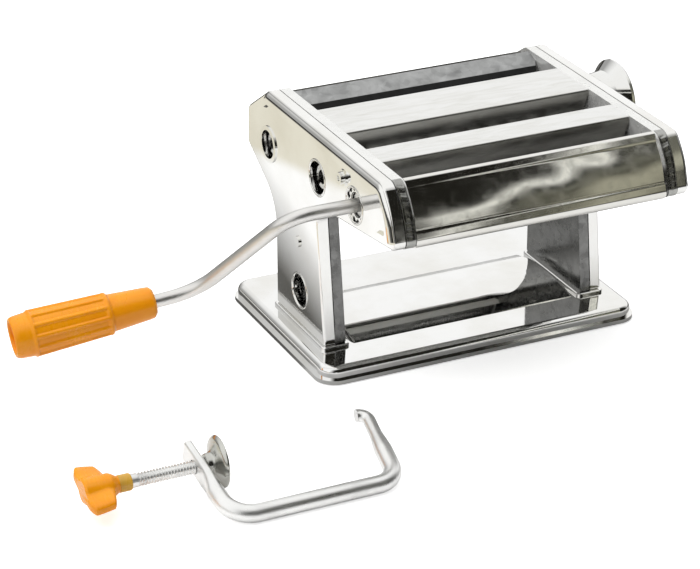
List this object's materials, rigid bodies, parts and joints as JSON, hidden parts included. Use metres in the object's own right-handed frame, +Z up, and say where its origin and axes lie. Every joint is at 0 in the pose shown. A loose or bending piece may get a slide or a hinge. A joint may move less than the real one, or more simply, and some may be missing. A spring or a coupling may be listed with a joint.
{
  "type": "pasta machine",
  "caption": "Hand cranked pasta machine with sheet rollers, wide and narrow cutters, a gap knob, a bent crank with a spinning grip, and a table clamp beside it",
  "frame": {"origin": "centre of the underside of the rubber mat, on the table", "axes": "+X along the rollers towards the gap knob, +Y to the rear, +Z up"},
  "size_m": [0.4119, 0.2693, 0.147],
  "materials": {
    "polished": "mirror polished steel sheet",
    "zinc_sheet": "zinc coated sheet",
    "satin_sheet": "satin steel sheet",
    "roller_steel": "ground steel",
    "plain_steel": "plain steel",
    "gear_steel": "hardened steel gears",
    "bush_plastic": "white bearing plastic",
    "comb_plastic": "food safe plastic",
    "rubber": "black rubber",
    "knob_chrome": "chromed die casting",
    "rod_chrome": "satin nickel plated steel rod",
    "grip_plastic": "orange moulded plastic",
    "clamp_steel": "zinc plated steel",
    "wing_plastic": "orange moulded plastic"
  },
  "bodies": {
    "frame": {"base_plate": "polished", "base_floor": "zinc_sheet", "rubber_mat": "rubber", "foot_screws": "plain_steel", "left_inner_plate": "zinc_sheet", "right_inner_plate": "zinc_sheet", "left_side_cover": "polished", "right_side_cover": "polished", "rear_socket_ring": "polished", "left_bushes": "bush_plastic", "right_bushes": "bush_plastic", "tie_rods": "plain_steel", "tie_screws": "plain_steel", "cover_screws": "polished", "cover_spacers": "plain_steel", "leg_rivets": "polished", "rear_feed_plate": "satin_sheet", "middle_top_guide": "polished", "front_top_guide": "polished", "front_cover": "polished", "rear_cover": "polished", "rear_scraper": "comb_plastic", "wide_combs": "comb_plastic", "narrow_combs": "comb_plastic", "dial_bush": "bush_plastic"},
    "driven_sheet_roller": {"drive_roller": "roller_steel", "drive_roller_gear": "gear_steel"},
    "gap_carriage": {"roller_carriage": "plain_steel", "front_scraper": "comb_plastic"},
    "adjustable_sheet_roller": {"adjustable_roller": "roller_steel", "adjustable_roller_gear": "gear_steel"},
    "driven_wide_cutter": {"wide_cutter": "roller_steel", "wide_cutter_gear": "gear_steel"},
    "front_wide_cutter": {"wide_cutter_partner": "roller_steel", "wide_partner_gear": "gear_steel"},
    "driven_narrow_cutter": {"narrow_cutter": "roller_steel", "narrow_cutter_gear": "gear_steel"},
    "front_narrow_cutter": {"narrow_cutter_partner": "roller_steel", "narrow_partner_gear": "gear_steel"},
    "gap_dial": {"dial_cam": "plain_steel", "knob_retainer": "plain_steel", "knob_spring": "plain_steel"},
    "dial_knob": {"gap_knob": "knob_chrome", "knob_pin": "plain_steel"},
    "crank": {"crank_rod": "rod_chrome", "crank_pin": "plain_steel", "grip_collar": "plain_steel"},
    "grip": {"crank_grip": "grip_plastic", "grip_plug": "grip_plastic"},
    "clamp": {"clamp_frame": "clamp_steel"},
    "pad": {"clamp_pad": "clamp_steel"},
    "screw": {"clamp_screw": "clamp_steel", "clamp_wing_knob": "wing_plastic"}
  },
  "joints": [
    {"name": "driven_roller_turn", "type": "hinge", "parent": "frame", "child": "driven_sheet_roller", "pos_m": [0, 0.0345, 0.113], "axis": [1, 0, 0], "continuous": true},
    {"name": "carriage_slide", "type": "slide", "parent": "frame", "child": "gap_carriage", "axis": [0, 0.993, -0.1184], "range_m": [0, 0.002]},
    {"name": "adjustable_roller_turn", "type": "hinge", "parent": "gap_carriage", "child": "adjustable_sheet_roller", "pos_m": [0, 0.0058, 0.11642], "axis": [1, 0, 0], "continuous": true},
    {"name": "wide_cutter_turn", "type": "hinge", "parent": "frame", "child": "driven_wide_cutter", "pos_m": [0, -0.035, 0.118], "axis": [1, 0, 0], "continuous": true},
    {"name": "front_wide_cutter_turn", "type": "hinge", "parent": "frame", "child": "front_wide_cutter", "pos_m": [0, -0.05624, 0.12136], "axis": [1, 0, 0], "continuous": true},
    {"name": "narrow_cutter_turn", "type": "hinge", "parent": "frame", "child": "driven_narrow_cutter", "pos_m": [0, -0.085, 0.1205], "axis": [1, 0, 0], "continuous": true},
    {"name": "front_narrow_cutter_turn", "type": "hinge", "parent": "frame", "child": "front_narrow_cutter", "pos_m": [0, -0.10591, 0.12552], "axis": [1, 0, 0], "continuous": true},
    {"name": "dial_turn", "type": "hinge", "parent": "frame", "child": "gap_dial", "pos_m": [0.095, 0.00104, 0.11699], "axis": [1, 0, 0], "range_deg": [0, 180]},
    {"name": "knob_pull", "type": "slide", "parent": "gap_dial", "child": "dial_knob", "axis": [1, 0, 0], "range_m": [0, 0.005], "stiffness_N_per_m": 400, "springref_m": -0.006},
    {"name": "crank_pull", "type": "slide", "parent": "driven_narrow_cutter", "child": "crank", "axis": [-1, 0, 0], "range_m": [0, 0.03]},
    {"name": "grip_spin", "type": "hinge", "parent": "crank", "child": "grip", "pos_m": [-0.23523, -0.02098, 0.04989], "axis": [0.9871, -0.1074, 0.1184], "continuous": true},
    {"name": "clamp_lift", "type": "slide", "parent": "frame", "child": "clamp", "axis": [0, 0, 1], "range_m": [0, 0.04]},
    {"name": "pad_travel", "type": "slide", "parent": "clamp", "child": "pad", "axis": [1, 0, 0], "range_m": [0, 0.025]},
    {"name": "screw_turn", "type": "hinge", "parent": "pad", "child": "screw", "pos_m": [-0.23, -0.15043, 0.01584], "axis": [1, 0, 0], "range_deg": [0, 7200]}
  ],
  "couplings": [
    {"joint": "adjustable_roller_turn", "follows": "driven_roller_turn", "ratio": -1},
    {"joint": "front_wide_cutter_turn", "follows": "wide_cutter_turn", "ratio": -1},
    {"joint": "front_narrow_cutter_turn", "follows": "narrow_cutter_turn", "ratio": -1},
    {"joint": "dial_turn", "follows": "carriage_slide", "rad_per_m": 1570.8},
    {"joint": "screw_turn", "follows": "pad_travel", "rad_per_m": 5026.5}
  ]
}
